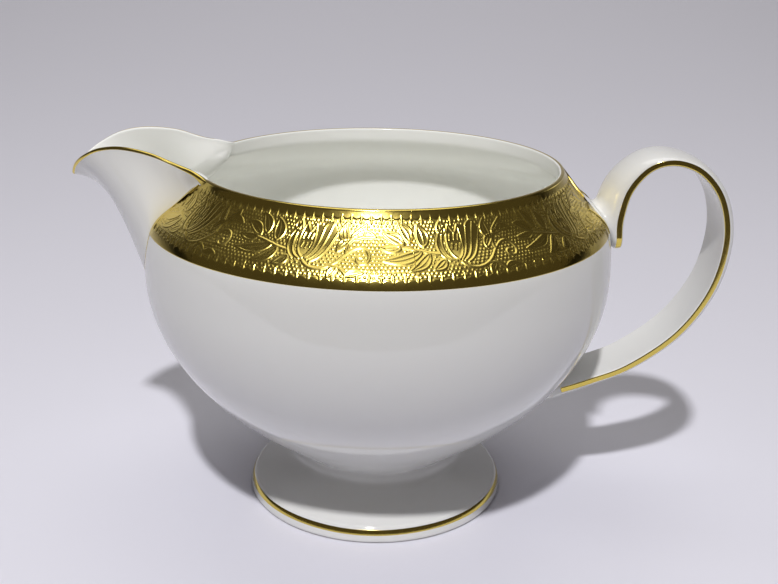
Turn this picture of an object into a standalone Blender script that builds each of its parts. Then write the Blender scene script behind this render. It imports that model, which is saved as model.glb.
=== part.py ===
"""Porcelain cream jug: a globe bowl on a pedestal foot, an applied spout and a strap handle, gilded.

The porcelain pieces are cast apart and stuck together with slip before they are fired. The gold is
fired on last, as thin skins. X runs from the spout (-X) to the handle (+X) and Z is up.
"""
import math

import bmesh
import bpy
from mathutils import Vector

MM = 0.001

# Driving dimensions, in metres. Heights are above the table, radii are from the bowl's axis.
AXIS_X = -5.0 * MM
WALL = 2.2 * MM
JOINT_GAP = 0.3 * MM
GOLD_THICKNESS = 0.3 * MM
RIM_RADIUS = 37.3 * MM
RIM_HEIGHT = 71.9 * MM
RIM_THICKNESS = 1.3 * MM
RIM_RISE = 0.25 * MM
BELLY_RADIUS = 47.9 * MM
BELLY_HEIGHT = 51.4 * MM
NECK_RADIUS = 17.0 * MM
NECK_HEIGHT = 9.6 * MM
UNDERSIDE_HEIGHT = 7.8 * MM
BOWL_FLOOR_HEIGHT = 10.4 * MM
BAND_SHARE = 0.72
FOOT_LINE = (1.75 * MM, 2.95 * MM)
STRAP_WIDTH = 13.0 * MM
STRAP_EDGE = 0.6 * MM
STRAP_HOLLOW = 0.75 * MM
LINE_HALF_WIDTH = 0.45 * MM
SPOUT_WALL = 1.5 * MM
LIP_LINE_WIDTH = 0.7 * MM
SEAM_LINE_WIDTH = 0.7 * MM
SEAM_LINE_CLEARANCE = 0.6 * MM

TURN_STEPS = 48
CURVE_STEPS = 7
DROP_STEP = 0.1

# Half of the spout, from its tip (0) round to where the lip meets the rim (1). Each row holds the lip
# point, the way the wall leaves the lip, the way it leaves the bowl, and the seam's angle and height.
SPOUT_ROWS = (
    ((-62.8, 0.0, 68.7), (8.2, 0.0, -0.3), (-4.2, 0.0, 11.0), 0.0, 48.5),
    ((-61.5, 3.5, 71.2), (6.9, 0.4, -1.6), (-3.6, 0.0, 10.5), 8.0, 49.8),
    ((-58.8, 6.7, 73.8), (5.2, 0.8, -3.0), (-2.4, 0.0, 9.5), 14.0, 52.6),
    ((-55.0, 9.0, 75.9), (3.4, 0.9, -4.4), (-1.2, 0.0, 7.5), 17.8, 56.6),
    ((-50.0, 10.8, 76.7), (1.8, 0.7, -4.8), (-0.4, 0.0, 5.2), 19.6, 61.2),
    ((-43.6, 12.9, 75.9), (0.9, 0.4, -3.4), (0.4, 0.0, 3.2), 19.6, 65.8),
    ((-37.4, 14.7, 73.7), (0.5, 0.3, -1.4), (0.3, 0.0, 1.3), 22.0, 69.4),
    ((-32.3, 18.7, 72.2), (0.1, 0.1, -0.4), (0.1, 0.0, 0.3), 28.6, 71.0),
)
SPOUT_SPAN_STEPS = 3
SPOUT_DROP_STEPS = 7
SEAM_OVERRUN = Vector((1.9, 0.0, -0.5)) * MM
SEAM_LINE_ROWS = (1.2, 3.7)

# The middle of the handle's side face, from the tail under the upper joint round to the lower joint:
# x from the bowl's axis, height, and how far the crown of the strap stands outside it.
HANDLE_ROWS = (
    (48.95, 55.6, 1.0),
    (48.75, 58.6, 2.4),
    (48.75, 63.0, 4.2),
    (50.2, 68.8, 3.5),
    (54.0, 73.3, 2.1),
    (59.1, 74.5, 1.3),
    (64.6, 72.3, 1.6),
    (68.9, 66.6, 2.1),
    (70.5, 58.0, 2.4),
    (68.5, 47.8, 2.3),
    (62.6, 38.3, 2.0),
    (53.4, 30.9, 1.8),
    (45.4, 27.3, 2.0),
    (38.7, 24.9, 2.6),
    (32.0, 23.2, 3.2),
)
HANDLE_SPAN_STEPS = 4
LINE_ROWS = (0.1, 12.9)
ROOT_ROOM = ((36.0 * MM, 60.0 * MM), (50.0 * MM, 66.4 * MM))


def bezier(start, start_handle, end_handle, end, steps, share=1.0):
    """Points of a cubic curve from its start, over a share of its length."""
    ends = [Vector(point) for point in (start, start_handle, end_handle, end)]
    points = []
    for step in range(steps + 1):
        t = share * step / steps
        s = 1.0 - t
        weights = (s ** 3, 3 * s * s * t, 3 * s * t * t, t ** 3)
        points.append(sum((w * p for w, p in zip(weights, ends)), Vector((0.0,) * len(ends[0]))))
    return points


def smooth_value(rows, place):
    """Value at a fractional row number, on the smooth curve through the rows."""
    index = min(int(place), len(rows) - 2)
    t = place - index
    before = rows[max(index - 1, 0)]
    after = rows[min(index + 2, len(rows) - 1)]
    values = []
    for a, b, c, d in zip(before, rows[index], rows[index + 1], after):
        values.append(0.5 * (2 * b + (c - a) * t + (2 * a - 5 * b + 4 * c - d) * t * t
                             + (3 * b - a - 3 * c + d) * t ** 3))
    return values


def offset_outline(points, distance):
    """Outline moved sideways by a distance, to the outside when it runs from top to bottom."""
    moved = []
    for index, point in enumerate(points):
        run = points[min(index + 1, len(points) - 1)] - points[max(index - 1, 0)]
        run.normalize()
        moved.append(point + distance * Vector((-run.y, run.x)))
    return moved


def shoulder_outline(steps=CURVE_STEPS, share=1.0):
    """Outer outline from the rim down to the widest part of the belly."""
    return bezier((RIM_RADIUS, RIM_HEIGHT), (43.6 * MM, 61.3 * MM), (BELLY_RADIUS, 68.0 * MM),
                  (BELLY_RADIUS, BELLY_HEIGHT), steps, share)


def belly_outline(steps=CURVE_STEPS + 2):
    """Outer outline from the widest part of the belly down to the neck above the foot."""
    return bezier((BELLY_RADIUS, BELLY_HEIGHT), (BELLY_RADIUS, 26.9 * MM), (19.1 * MM, 13.1 * MM),
                  (NECK_RADIUS, NECK_HEIGHT), steps)


def bowl_radius(height):
    """Outer radius of the bowl at a height between the neck and the rim."""
    fine = 40
    outline = shoulder_outline(fine) + belly_outline(fine)[1:]
    for upper, lower in zip(outline, outline[1:]):
        if lower.y <= height <= upper.y:
            share = (height - lower.y) / max(upper.y - lower.y, 1e-9)
            return lower.x + share * (upper.x - lower.x)
    return RIM_RADIUS


def paint(thing, colour, roughness, metallic):
    """Give the object a material of its own."""
    material = bpy.data.materials.new(thing.name)
    material.use_nodes = True
    shader = material.node_tree.nodes["Principled BSDF"]
    shader.inputs["Base Color"].default_value = (*colour, 1.0)
    shader.inputs["Roughness"].default_value = roughness
    shader.inputs["Metallic"].default_value = metallic
    material.diffuse_color = (*colour, 1.0)
    thing.data.materials.clear()
    thing.data.materials.append(material)


def glaze(thing):
    """Clear glaze over white porcelain."""
    paint(thing, (0.82, 0.82, 0.79), 0.12, 0.0)


def gild(thing, roughness=0.22):
    """Burnished gold fired on the glaze."""
    paint(thing, (0.62, 0.47, 0.12), roughness, 1.0)


def new_object(name, mesh, collection):
    thing = bpy.data.objects.new(name, mesh)
    collection.objects.link(thing)
    return thing


def mesh_from(name, vertices, faces):
    mesh = bpy.data.meshes.new(name)
    mesh.from_pydata([tuple(vertex) for vertex in vertices], [], faces)
    mesh.update()
    return mesh


def face_outwards(mesh):
    work = bmesh.new()
    work.from_mesh(mesh)
    bmesh.ops.recalc_face_normals(work, faces=work.faces)
    work.to_mesh(mesh)
    work.free()


def turned(name, outline, collection, closed=False):
    """Body of revolution about the bowl's axis from an (radius, height) outline."""
    vertices = [(point[0], 0.0, point[1]) for point in outline]
    edges = [(index, index + 1) for index in range(len(outline) - 1)]
    if closed:
        edges.append((len(outline) - 1, 0))
    mesh = bpy.data.meshes.new(name)
    mesh.from_pydata(vertices, edges, [])
    thing = new_object(name, mesh, collection)
    thing.location.x = AXIS_X
    screw = thing.modifiers.new("Turn", "SCREW")
    screw.axis = "Z"
    screw.angle = math.tau
    screw.steps = TURN_STEPS
    screw.render_steps = TURN_STEPS
    screw.use_merge_vertices = True
    screw.merge_threshold = 0.00001
    return thing


def lofted(name, rings, collection):
    """Closed body through a row of rings, each with the same number of points, ends capped."""
    count = len(rings[0])
    vertices = [point for ring in rings for point in ring]
    faces = []
    for row in range(len(rings) - 1):
        for column in range(count):
            after = (column + 1) % count
            low = row * count
            faces.append((low + column, low + after, low + count + after, low + count + column))
    faces.append(tuple(range(count)))
    last = (len(rings) - 1) * count
    faces.append(tuple(last + column for column in range(count)))
    mesh = mesh_from(name, vertices, faces)
    face_outwards(mesh)
    thing = new_object(name, mesh, collection)
    thing.location.x = AXIS_X
    return thing


def cut(thing, tool, self_crossing=False):
    """Take one closed body away from another."""
    boolean = thing.modifiers.new("Cut by " + tool.name, "BOOLEAN")
    boolean.operation = "DIFFERENCE"
    boolean.solver = "EXACT"
    boolean.object = tool
    boolean.use_self = self_crossing


def bowl_filler(name, grown_by, collection):
    """The bowl without its hollow, a little larger, for trimming what is stuck on its outside."""
    outline = offset_outline(shoulder_outline() + belly_outline()[1:], grown_by)
    top = Vector((0.0, RIM_HEIGHT + grown_by))
    edge = Vector((outline[0].x, top.y))
    bottom = Vector((0.0, UNDERSIDE_HEIGHT))
    return turned(name, [top, edge] + outline + [bottom], collection)


def make_bowl(parts):
    outside = shoulder_outline() + belly_outline()[1:]
    inside = offset_outline(outside, -WALL)
    floor = [Vector((0.0, BOWL_FLOOR_HEIGHT)), Vector((8.0 * MM, BOWL_FLOOR_HEIGHT + 0.2 * MM))]
    rim = [
        Vector((RIM_RADIUS - RIM_THICKNESS, RIM_HEIGHT)),
        Vector((RIM_RADIUS - RIM_THICKNESS / 2, RIM_HEIGHT + RIM_RISE)),
    ]
    underside = [
        Vector((NECK_RADIUS - 0.9 * MM, UNDERSIDE_HEIGHT + 0.8 * MM)),
        Vector((12.0 * MM, UNDERSIDE_HEIGHT + 0.1 * MM)),
        Vector((0.0, UNDERSIDE_HEIGHT)),
    ]
    bowl = turned("bowl", floor + inside[::-1] + rim + outside + underside, parts)
    glaze(bowl)
    return bowl


def make_foot(parts):
    """Hollow pedestal: a concave flare from the neck to a thin upright edge."""
    flare = bezier((NECK_RADIUS + 0.1 * MM, NECK_HEIGHT - 0.5 * MM), (17.6 * MM, 5.6 * MM),
                   (20.6 * MM, 4.6 * MM), (26.3 * MM, 3.45 * MM), 6)
    edge = [(26.95, 3.05), (27.45, 1.8), (27.6, 0.8), (27.2, 0.0)]
    hollow = [(24.8, 0.0), (24.4, 0.7), (22.4, 2.3), (18.4, 3.6), (15.4, 5.3), (13.4, 7.2)]
    land = [Vector((15.6 * MM, 7.9 * MM))]
    outline = flare + [Vector(point) * MM for point in edge + hollow] + land
    foot = turned("foot", outline, parts, closed=True)
    glaze(foot)
    return foot


def spout_point(place, drop, side):
    """Outer wall of the spout: place runs along the lip, drop from the lip (0) to the seam (1)."""
    rows = [(*lip, *leave_lip, *leave_bowl, angle, height)
            for lip, leave_lip, leave_bowl, angle, height in SPOUT_ROWS]
    values = smooth_value(rows, place)
    lip = Vector(values[0:3]) * MM
    angle = math.radians(values[9])
    height = values[10] * MM
    radius = bowl_radius(height)
    seam = Vector((-radius * math.cos(angle), radius * math.sin(angle), height))
    start_handle = lip + Vector(values[3:6]) * MM
    end_handle = seam + Vector(values[6:9]) * MM
    t = drop
    s = 1.0 - t
    point = s ** 3 * lip + 3 * s * s * t * start_handle + 3 * s * t * t * end_handle + t ** 3 * seam
    point.y *= side
    return point


def spout_places():
    """Places along the whole lip, from the near rim round the tip to the far rim."""
    last = len(SPOUT_ROWS) - 1
    count = last * SPOUT_SPAN_STEPS
    half = [last * step / count for step in range(count + 1)]
    return [(place, -1.0) for place in half[:0:-1]] + [(place, 1.0) for place in half]


def spout_shell(name, thickness, outward_share, collection):
    """The spout's open wall, run on a little into the bowl and thickened."""
    drops = [step / SPOUT_DROP_STEPS for step in range(SPOUT_DROP_STEPS + 1)]
    places = spout_places()
    vertices = []
    for place, side in places:
        column = [spout_point(place, drop, side) for drop in drops]
        vertices += column + [column[-1] + SEAM_OVERRUN]
    count = len(drops) + 1
    faces = []
    for column in range(len(places) - 1):
        for row in range(count - 1):
            first = column * count + row
            faces.append((first, first + count, first + count + 1, first + 1))
    spout = new_object(name, mesh_from(name, vertices, faces), collection)
    spout.location.x = AXIS_X
    shell = spout.modifiers.new("Wall", "SOLIDIFY")
    shell.thickness = thickness
    shell.offset = 2 * outward_share - 1.0
    shell.use_even_offset = True
    return spout


def make_spout(parts, filler):
    spout = spout_shell("spout", SPOUT_WALL, 0.0, parts)
    cut(spout, filler)
    glaze(spout)
    return spout


def handle_section(place):
    """Path point, outward direction and crown height at a place along the handle."""
    x, z, crown = smooth_value(HANDLE_ROWS, place)
    ahead = smooth_value(HANDLE_ROWS, min(place + 0.05, len(HANDLE_ROWS) - 1))
    behind = smooth_value(HANDLE_ROWS, max(place - 0.05, 0.0))
    run = Vector((ahead[0] - behind[0], 0.0, ahead[1] - behind[1])).normalized()
    outward = Vector((-run.z, 0.0, run.x))
    return Vector((x, 0.0, z)) * MM, outward, crown * MM


def make_handle(parts, filler):
    """Strap with a flat inner face, thin edges and a crowned outer face."""
    half = STRAP_WIDTH / 2
    places = [step / HANDLE_SPAN_STEPS for step in range((len(HANDLE_ROWS) - 1) * HANDLE_SPAN_STEPS + 1)]
    crown_steps = 8
    rings = []
    for place in places:
        middle, outward, crown = handle_section(place)
        outline = [(half, -0.3 * MM), (half - 0.5 * MM, -STRAP_HOLLOW), (-half + 0.5 * MM, -STRAP_HOLLOW),
                   (-half, -0.3 * MM)]
        for step in range(crown_steps + 1):
            turn = math.pi * (1 - step / crown_steps)
            rise = STRAP_EDGE + (crown - STRAP_EDGE) * math.sin(turn)
            outline.append((half * math.cos(turn), rise))
        rings.append([middle + Vector((0.0, y, 0.0)) + lift * outward for y, lift in outline])
    handle = lofted("handle", rings, parts)
    cut(handle, filler)
    glaze(handle)
    return handle


def make_handle_line(name, side, parts):
    """Gold line along one edge of the strap, from the tail to just short of the bowl."""
    inner = STRAP_WIDTH / 2 + JOINT_GAP
    outer = inner + GOLD_THICKNESS
    count = 48
    first, last = LINE_ROWS
    rings = []
    for step in range(count + 1):
        middle, outward, _ = handle_section(first + (last - first) * step / count)
        corners = ((inner, -LINE_HALF_WIDTH), (inner, LINE_HALF_WIDTH),
                   (outer, LINE_HALF_WIDTH), (outer, -LINE_HALF_WIDTH))
        rings.append([middle + Vector((0.0, side * y, 0.0)) + lift * outward for y, lift in corners])
    line = lofted(name, rings, parts)
    gild(line)
    return line


def make_foot_line(parts):
    """Gold line round the upper part of the foot's edge."""
    low, high = FOOT_LINE
    edge = [Vector((26.95 * MM, high)), Vector((27.45 * MM, low))]
    inner = offset_outline(edge, JOINT_GAP)
    outer = offset_outline(edge, JOINT_GAP + GOLD_THICKNESS)
    line = turned("foot_line", outer + inner[::-1], parts, closed=True)
    gild(line)
    return line


def make_lip_line(parts):
    """Gold line on the outside of the spout's lip."""
    rings = []
    for place, side in spout_places()[1:-1]:
        lip = spout_point(place, 0.0, side)
        below = spout_point(place, DROP_STEP, side)
        down = (below - lip).normalized()
        near = spout_point(max(place - DROP_STEP, 0.0), 0.0, side)
        far = spout_point(place + DROP_STEP, 0.0, side)
        along = (far - near) * side
        if place == 0.0:
            along = Vector((0.0, 1.0, 0.0))
        out = along.cross(down).normalized()
        inner = lip + out * JOINT_GAP
        outer = inner + out * GOLD_THICKNESS
        drop = down * LIP_LINE_WIDTH
        rings.append([inner, outer, outer + drop, inner + drop])
    line = lofted("spout_lip_line", rings, parts)
    gild(line)
    return line


def seam_prism(name, grown_by, reach, collection):
    """Radial prism over the spout's footprint on the bowl, open above the rim."""
    rows = [(angle, height) for _, _, _, angle, height in SPOUT_ROWS]
    half = [smooth_value(rows, step / 2) for step in range(2 * len(rows) - 1)]
    widest = half[-1][0]
    half.append((widest + 1.0, RIM_HEIGHT / MM + 8.0))
    footprint = [(-angle, height) for angle, height in half[:0:-1]] + half
    spread = math.degrees(grown_by / BELLY_RADIUS)
    rings = []
    for radius in reach:
        ring = []
        for angle, height in footprint:
            side = (angle > 0.0) - (angle < 0.0)
            turn = math.radians(angle + side * spread)
            level = height * MM - grown_by * (1.0 - min(abs(angle) / widest, 1.0))
            ring.append(Vector((-radius * math.cos(turn), radius * math.sin(turn), level)))
        rings.append(ring)
    return lofted(name, rings, collection)


def make_band(parts, band_tools):
    """Etched gold band over the whole shoulder, from one side of the spout round to the other."""
    covered = shoulder_outline(CURVE_STEPS, BAND_SHARE)
    inner = offset_outline(covered, JOINT_GAP)
    outer = offset_outline(covered, JOINT_GAP + GOLD_THICKNESS)
    band = turned("etched_gold_band", outer + inner[::-1], parts, closed=True)
    for tool in band_tools:
        cut(band, tool, self_crossing=True)
    gild(band, 0.3)
    return band


def make_seam_line(name, side, parts):
    """Thin gold line down the spout's joint with the bowl, below the band."""
    rows = [(angle, height) for _, _, _, angle, height in SPOUT_ROWS]
    first, last = SEAM_LINE_ROWS
    low, high = JOINT_GAP, JOINT_GAP + GOLD_THICKNESS
    count = 10
    rings = []
    for step in range(count + 1):
        angle, height = smooth_value(rows, first + (last - first) * step / count)
        level = height * MM
        ring = []
        for lift, shift in ((low, 0.0), (high, 0.0), (high, SEAM_LINE_WIDTH), (low, SEAM_LINE_WIDTH)):
            radius = bowl_radius(level) + lift
            turn = math.radians(angle) + (shift + SEAM_LINE_CLEARANCE) / BELLY_RADIUS
            ring.append(Vector((-radius * math.cos(turn), side * radius * math.sin(turn), level)))
        rings.append(ring)
    line = lofted(name, rings, parts)
    gild(line)
    return line


def make_root_tool(tools):
    """Block that keeps the band clear of the handle's upper joint."""
    (inner, outer), (low, high) = ROOT_ROOM
    middle = (AXIS_X + (inner + outer) / 2, 0.0, (low + high) / 2)
    bpy.ops.mesh.primitive_cube_add(size=1.0, location=middle)
    block = bpy.context.object
    block.name = "root_tool"
    block.scale = (outer - inner, STRAP_WIDTH + 1.0 * MM, high - low)
    for holder in list(block.users_collection):
        holder.objects.unlink(block)
    tools.objects.link(block)
    return block


def main():
    for thing in list(bpy.data.objects):
        bpy.data.objects.remove(thing, do_unlink=True)
    parts = bpy.data.collections.new("Cream jug")
    tools = bpy.data.collections.new("Cream jug cutters")
    for collection in (parts, tools):
        bpy.context.scene.collection.children.link(collection)

    porcelain_filler = bowl_filler("porcelain_filler", JOINT_GAP, tools)
    mouth_tool = seam_prism("mouth_tool", -SPOUT_WALL, (30.0 * MM, 58.0 * MM), tools)
    seam_tool = seam_prism("seam_tool", 2 * JOINT_GAP, (34.0 * MM, 58.0 * MM), tools)
    wall_tool = spout_shell("wall_tool", SPOUT_WALL + JOINT_GAP * 2, 0.25, tools)
    root_tool = make_root_tool(tools)

    bowl = make_bowl(parts)
    cut(bowl, mouth_tool)
    make_foot(parts)
    make_spout(parts, porcelain_filler)
    make_handle(parts, porcelain_filler)
    make_band(parts, (seam_tool, wall_tool, root_tool))
    make_lip_line(parts)
    for name, side in (("near", -1.0), ("far", 1.0)):
        make_seam_line("spout_seam_line_" + name, side, parts)
        make_handle_line("handle_line_" + name, side, parts)
    make_foot_line(parts)

    for tool in tools.objects:
        tool.hide_render = True
        tool.display_type = "WIRE"


main()
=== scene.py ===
"""Cream jug in glazed white porcelain with an etched gold band: its looks, piece by piece.

Sizes are in millimetres from the middle of the jug's foot on the table, with X towards the handle and
Z up. `skin` turns them into metres. A turn is an angle in degrees round the bowl's axis, 0 at the
spout, growing towards the front and 180 at the handle.
"""
import math

import bpy
import numpy as np
from mathutils import Matrix, Vector


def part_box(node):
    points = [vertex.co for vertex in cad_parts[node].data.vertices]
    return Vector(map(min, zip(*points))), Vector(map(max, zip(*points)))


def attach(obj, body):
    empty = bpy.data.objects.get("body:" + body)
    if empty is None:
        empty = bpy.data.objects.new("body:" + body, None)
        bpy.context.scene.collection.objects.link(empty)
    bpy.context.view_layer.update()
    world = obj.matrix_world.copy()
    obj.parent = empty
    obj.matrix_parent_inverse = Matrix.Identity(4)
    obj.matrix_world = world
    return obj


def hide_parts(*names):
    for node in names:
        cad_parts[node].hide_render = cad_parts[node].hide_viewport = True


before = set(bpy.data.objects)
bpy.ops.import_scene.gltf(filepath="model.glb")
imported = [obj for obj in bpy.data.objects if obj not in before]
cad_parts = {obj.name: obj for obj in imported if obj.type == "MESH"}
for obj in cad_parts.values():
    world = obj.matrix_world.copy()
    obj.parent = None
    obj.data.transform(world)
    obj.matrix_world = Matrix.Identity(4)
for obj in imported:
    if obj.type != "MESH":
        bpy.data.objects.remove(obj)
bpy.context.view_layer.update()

# ---------------------------------------------------------------- camera
# A compact camera a little above the jug, 22 cm from it, held a degree off level.
FOCAL_LENGTH = 49.97
CAMERA_PLACE = (-2.64, -216.2, 120.45)
LOOKS_DOWN = 19.42
HELD_OFF_LEVEL = 1.01

camera = bpy.data.objects.new("Camera", bpy.data.cameras.new("Camera"))
bpy.context.scene.collection.objects.link(camera)
camera.data.lens = FOCAL_LENGTH
camera.data.sensor_width = 36.0
camera.data.clip_start = 0.01
ahead = Vector((0.0, math.cos(math.radians(LOOKS_DOWN)), -math.sin(math.radians(LOOKS_DOWN))))
level_right = Vector((1.0, 0.0, 0.0))
level_up = level_right.cross(ahead)
roll = math.radians(HELD_OFF_LEVEL)
camera_right = level_right * math.cos(roll) + level_up * math.sin(roll)
camera_up = level_up * math.cos(roll) - level_right * math.sin(roll)
camera_turn = Matrix((camera_right, camera_up, -ahead)).transposed().to_4x4()
camera.matrix_world = Matrix.Translation(Vector(CAMERA_PLACE) / 1000) @ camera_turn
bpy.context.scene.camera = camera

# ---------------------------------------------------------------- table and light
# Pale lavender card that lies flat under the jug, ends a little in front of it and curves up behind it.
# A small bright lamp stands in front and above, and a wide dim one hangs overhead in a darker room.
CARD_COLOUR = (0.78, 0.78, 0.86)
CARD_BACK = 2600.0
CARD_FLAT_TO = 100.0
CARD_RISE = 0.00000029
CARD_HALF_WIDTH = 2600.0
CARD_FRONT = -150.0
CARD_THICKNESS = 2.0
LAMP_COLOUR = (1.0, 0.985, 1.0)
LAMP_WATTS = 10.1
LAMP_PLACE = (-70.0, -655.0, 985.0)
LAMP_SIZE = 0.055
SKY_COLOUR = (1.0, 0.985, 0.96)
SKY_WATTS = 3.8
SKY_PLACE = (0.0, 330.0, 1100.0)
SKY_SIZE = 0.9
LAMPS_AIM = (0.0, 0.0, 40.0)
ROOM_COLOUR = (1.0, 0.86, 0.68)
ROOM_BRIGHTNESS = 0.065


def skin(name, loops, closed=False, **values):
    """Piece made of a row of closed loops of points, an array of loops x points x 3.

    Each loop is joined to the next one, point by point. The last joins the first if closed, and else
    both ends are filled with triangles to their middle. values are numbers for each point."""
    rows, count = loops.shape[:2]
    points = np.arange(rows * count).reshape(rows, count)
    before, after = (points, np.roll(points, -1, 0)) if closed else (points[:-1], points[1:])
    walls = np.stack([before, np.roll(before, -1, 1), np.roll(after, -1, 1), after], -1).reshape(-1, 4)
    vertices = loops.reshape(-1, 3)
    faces = walls.tolist()
    corners = [walls[:, (0, 1, 2)], walls[:, (0, 2, 3)]]
    if not closed:
        middles = loops[[0, -1]].mean(1)
        vertices = np.vstack([vertices, middles])
        first, last = points[0], points[-1]
        for ring, middle in ((first[::-1], rows * count), (last, rows * count + 1)):
            fan = np.stack([ring, np.roll(ring, -1), np.full(count, middle)], -1)
            faces += fan.tolist()
            corners.append(fan)
    a, b, c = (vertices[np.vstack(corners)[:, i]] for i in range(3))
    if (a * np.cross(b, c)).sum() < 0:
        faces = [face[::-1] for face in faces]
    mesh = bpy.data.meshes.new(name)
    mesh.from_pydata(vertices / 1000, [], faces)
    for key, value in values.items():
        layer = mesh.attributes.new(key, "FLOAT", "POINT")
        full = np.zeros(len(vertices), np.float32)
        full[:rows * count] = np.broadcast_to(value, (rows, count)).reshape(-1)
        layer.data.foreach_set("value", full)
    mesh.shade_smooth()
    piece = bpy.data.objects.new(name, mesh)
    bpy.context.scene.collection.objects.link(piece)
    return piece


def node_material(name):
    """New material with its Principled shader, a function that adds a node and one that fills a node in.

    An input is given by its name, with _ for a space, or by its number, such as i6."""
    material = bpy.data.materials.new(name)
    material.use_nodes = True
    tree = material.node_tree
    shader = tree.nodes["Principled BSDF"]

    def fill(node, inputs):
        """Set each input to a value, or link it to an output given as (node, output)."""
        for key, value in inputs.items():
            numbered = key[0] == "i" and key[1:].isdigit()
            socket = node.inputs[int(key[1:]) if numbered else key.replace("_", " ")]
            if isinstance(value, tuple) and isinstance(value[0], bpy.types.Node):
                tree.links.new(value[0].outputs[value[1]], socket)
            else:
                socket.default_value = value
        return node

    def add(kind, settings=None, **inputs):
        """Add a shader node of a kind, with its settings and inputs."""
        node = tree.nodes.new("ShaderNode" + kind)
        for key, value in (settings or {}).items():
            setattr(node, key, value)
        return fill(node, inputs)

    return material, shader, add, fill


def area_lamp(name, colour, watts, place, size, aim):
    """Square soft lamp that shines from its place towards a point."""
    lamp = bpy.data.lights.new(name, "AREA")
    lamp.color = colour
    lamp.energy = watts
    lamp.size = size
    thing = bpy.data.objects.new(name, lamp)
    bpy.context.scene.collection.objects.link(thing)
    thing.location = Vector(place) / 1000
    thing.rotation_euler = (Vector(aim) / 1000 - thing.location).to_track_quat("-Z", "Y").to_euler()


def make_card():
    """Sheet that lies flat as far as CARD_FLAT_TO and rises behind as the cube of the distance.

    It ends at CARD_FRONT, so that the front of the jug reflects the dark room beyond it."""
    flat = np.linspace(CARD_FRONT, CARD_FLAT_TO, 4)
    length = np.concatenate([flat, np.linspace(CARD_FLAT_TO + 40, CARD_BACK, 90)])
    height = CARD_RISE * np.maximum(length - CARD_FLAT_TO, 0) ** 3
    top = np.stack([np.stack([np.full(len(length), x), length, height], -1)
                    for x in (-CARD_HALF_WIDTH, CARD_HALF_WIDTH)])
    loops = np.concatenate([top, (top - (0, 0, CARD_THICKNESS))[:, ::-1]], 1)
    card = skin("Card", loops)
    card.data.set_sharp_from_angle(angle=math.radians(60))
    material, shader, add, fill = node_material("card")
    place = add("TexCoord")
    patch = add("TexNoise", Vector=(place, "Object"), Scale=6.0, Detail=3.0)
    colour = add("Mix", {"data_type": "RGBA"}, Factor=(patch, "Fac"),
                 i6=(*[c * 0.985 for c in CARD_COLOUR], 1), i7=(*[c * 1.01 for c in CARD_COLOUR], 1))
    fibre = add("TexNoise", Vector=(place, "Object"), Scale=900.0, Detail=4.0)
    bump = add("Bump", Height=(fibre, "Fac"), Strength=0.05, Distance=0.0003)
    fill(shader, dict(Base_Color=(colour, 2), Roughness=0.6, Normal=(bump, "Normal"),
                      Specular_IOR_Level=0.25))
    card.data.materials.append(material)


make_card()
area_lamp("Lamp", LAMP_COLOUR, LAMP_WATTS, LAMP_PLACE, LAMP_SIZE, LAMPS_AIM)
area_lamp("Sky", SKY_COLOUR, SKY_WATTS, SKY_PLACE, SKY_SIZE, LAMPS_AIM)
room = bpy.data.worlds.new("Room")
room.use_nodes = True
room.node_tree.nodes["Background"].inputs["Color"].default_value = (*ROOM_COLOUR, 1)
room.node_tree.nodes["Background"].inputs["Strength"].default_value = ROOM_BRIGHTNESS
bpy.context.scene.world = room
bpy.context.scene.view_settings.view_transform = "Standard"

# ---------------------------------------------------------------- bowl
# Globe bowl in thin porcelain: slip-cast, turned smooth and glazed inside and out. A short upright
# collar inside the rim ends in a faint crease. The wall is open where the spout is stuck on.
BOWL_RADIUS = 47.9
AXIS_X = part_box("bowl")[1].x * 1000 - BOWL_RADIUS
SHOULDER = ((37.3, 71.9), (43.6, 61.3), (BOWL_RADIUS, 68.0), (BOWL_RADIUS, 51.4))
BELLY = ((BOWL_RADIUS, 51.4), (BOWL_RADIUS, 26.9), (19.1, 13.1), (17.0, 9.6))
UNDERSIDE = ((15.6, 8.4), (11.0, 7.9), (5.0, 7.8), (0.4, 7.8))
WALL = 2.2
RIM_HALF = 0.5
RIM_RISE = 0.3
COLLAR_FOOT = (36.25, 69.8)
BOWL_FLOOR = ((12.0, 10.75), (7.0, 10.5), (3.0, 10.42), (0.4, 10.4))
BAND_SHARE = 0.72
BAND_RECESS = 0.16
BOWL_COLUMNS = 420
BOWL_ROWS = 95
NOTCH_SPREAD = 48.0
NOTCH_PART = 0.62
NOTCH_FADE = 40.0
NOTCH_INSET = 0.6
THROAT_BACK = 1.2
THROAT_SINK = 0.9
WHITE_GLAZE = (0.80, 0.805, 0.785)
# Painted light: the inside of the bowl and spout gets a lighter white than the outside of the same glaze, to
# stand in for the light bouncing round inside.
PAINTED_LIGHT_INSIDE_WHITE = (0.93, 0.94, 0.90)
# Half of the spout, row 0 at its tip and row 7 where its lip meets the rim; the last row runs out
# inside the rim. Each has the lip point, how the wall leaves the lip and the bowl, and the seam's
# turn and height.
SPOUT_ROWS = np.array((
    (-62.8, 0.0, 68.7, 8.2, 0.0, -0.3, -4.2, 0.0, 11.0, 0.0, 48.5),
    (-61.5, 3.5, 71.2, 6.9, 0.4, -1.6, -3.6, 0.0, 10.5, 8.0, 49.8),
    (-58.8, 6.7, 73.8, 5.2, 0.8, -3.0, -2.4, 0.0, 9.5, 14.0, 52.6),
    (-55.0, 9.0, 75.9, 3.4, 0.9, -4.4, -1.2, 0.0, 7.5, 17.8, 56.6),
    (-50.0, 10.8, 76.7, 1.8, 0.7, -4.8, -0.4, 0.0, 5.2, 19.6, 61.2),
    (-43.6, 12.9, 75.9, 0.9, 0.4, -3.4, 0.4, 0.0, 3.2, 19.6, 65.8),
    (-37.4, 14.7, 73.7, 0.5, 0.3, -1.4, 0.3, 0.0, 1.3, 22.0, 69.4),
    (-32.3, 18.7, 72.2, 0.1, 0.1, -0.4, 0.1, 0.0, 0.3, 28.6, 71.0),
    (-28.4, 23.4, 71.7, 0.0, 0.1, -0.3, 0.0, 0.0, 0.3, 37.0, 71.0),
))
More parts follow.
